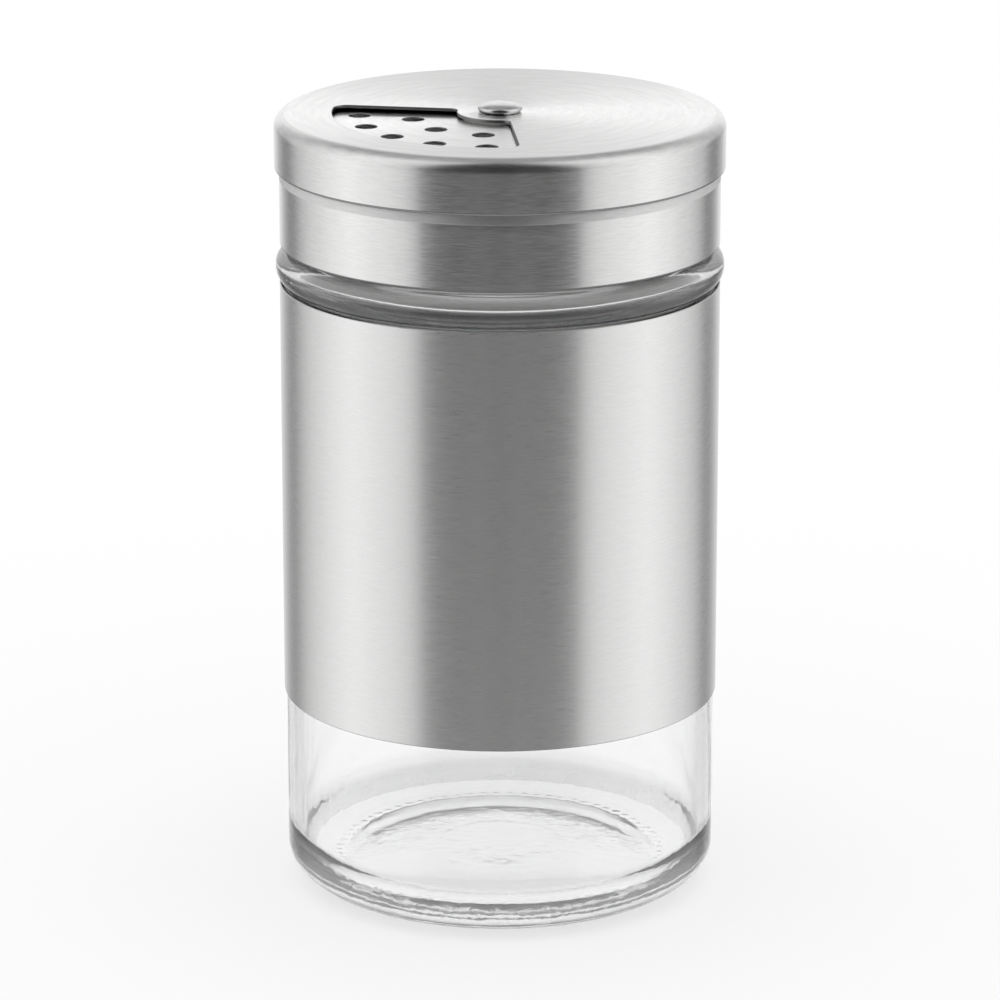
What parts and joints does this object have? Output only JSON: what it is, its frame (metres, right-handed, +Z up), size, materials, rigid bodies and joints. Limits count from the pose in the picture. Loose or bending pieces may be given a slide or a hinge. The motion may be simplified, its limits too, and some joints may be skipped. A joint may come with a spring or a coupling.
{
  "type": "spice shaker dispenser",
  "caption": "Glass spice shaker with a steel sleeve, a screw lid with a sieve top, and a turning selector cap whose window opens onto coarse holes, fine holes or blank plate.",
  "frame": {"origin": "centre of the jar's footprint, on the surface that it stands on", "axes": "+Z up along the jar's axis; -Y is the front as pictured; +X is to the right seen from the front. The selector window points to the front left, 137.2 degrees clockwise from +X seen from above"},
  "size_m": [0.0662, 0.0662, 0.1189],
  "materials": {
    "clear_glass": "polished",
    "brushed_steel": "fine brushed",
    "polished_steel": "polished",
    "spring_steel": "plain rolled",
    "white_plastic": "moulded matte",
    "clear_silicone": "soft matte",
    "clear_tape": "adhesive film"
  },
  "bodies": {
    "jar": {"glass_jar": "clear_glass", "steel_sleeve": "brushed_steel", "sleeve_tape_lower": "clear_tape", "sleeve_tape_upper": "clear_tape"},
    "seal": {"sealing_ring": "clear_silicone"},
    "lid": {"screw_lid": "brushed_steel", "thread_insert": "white_plastic", "pivot_rivet": "polished_steel", "glide_washer": "white_plastic", "disc_spring": "spring_steel", "backup_washer": "spring_steel"},
    "selector": {"selector_cap": "brushed_steel"}
  },
  "joints": [
    {"name": "lid_rise", "type": "slide", "parent": "jar", "child": "seal", "axis": [0, 0, 1], "range_m": [0, 0.0201]},
    {"name": "lid_turn", "type": "hinge", "parent": "seal", "child": "lid", "pos_m": [0, 0, 0.1138], "axis": [0, 0, 1], "range_deg": [0, 1800]},
    {"name": "selector_turn", "type": "hinge", "parent": "lid", "child": "selector", "pos_m": [0, 0, 0.1171], "axis": [0, 0, 1], "continuous": true}
  ],
  "couplings": [
    {"joint": "lid_rise", "follows": "lid_turn", "m_per_rad": 0.00063662}
  ]
}
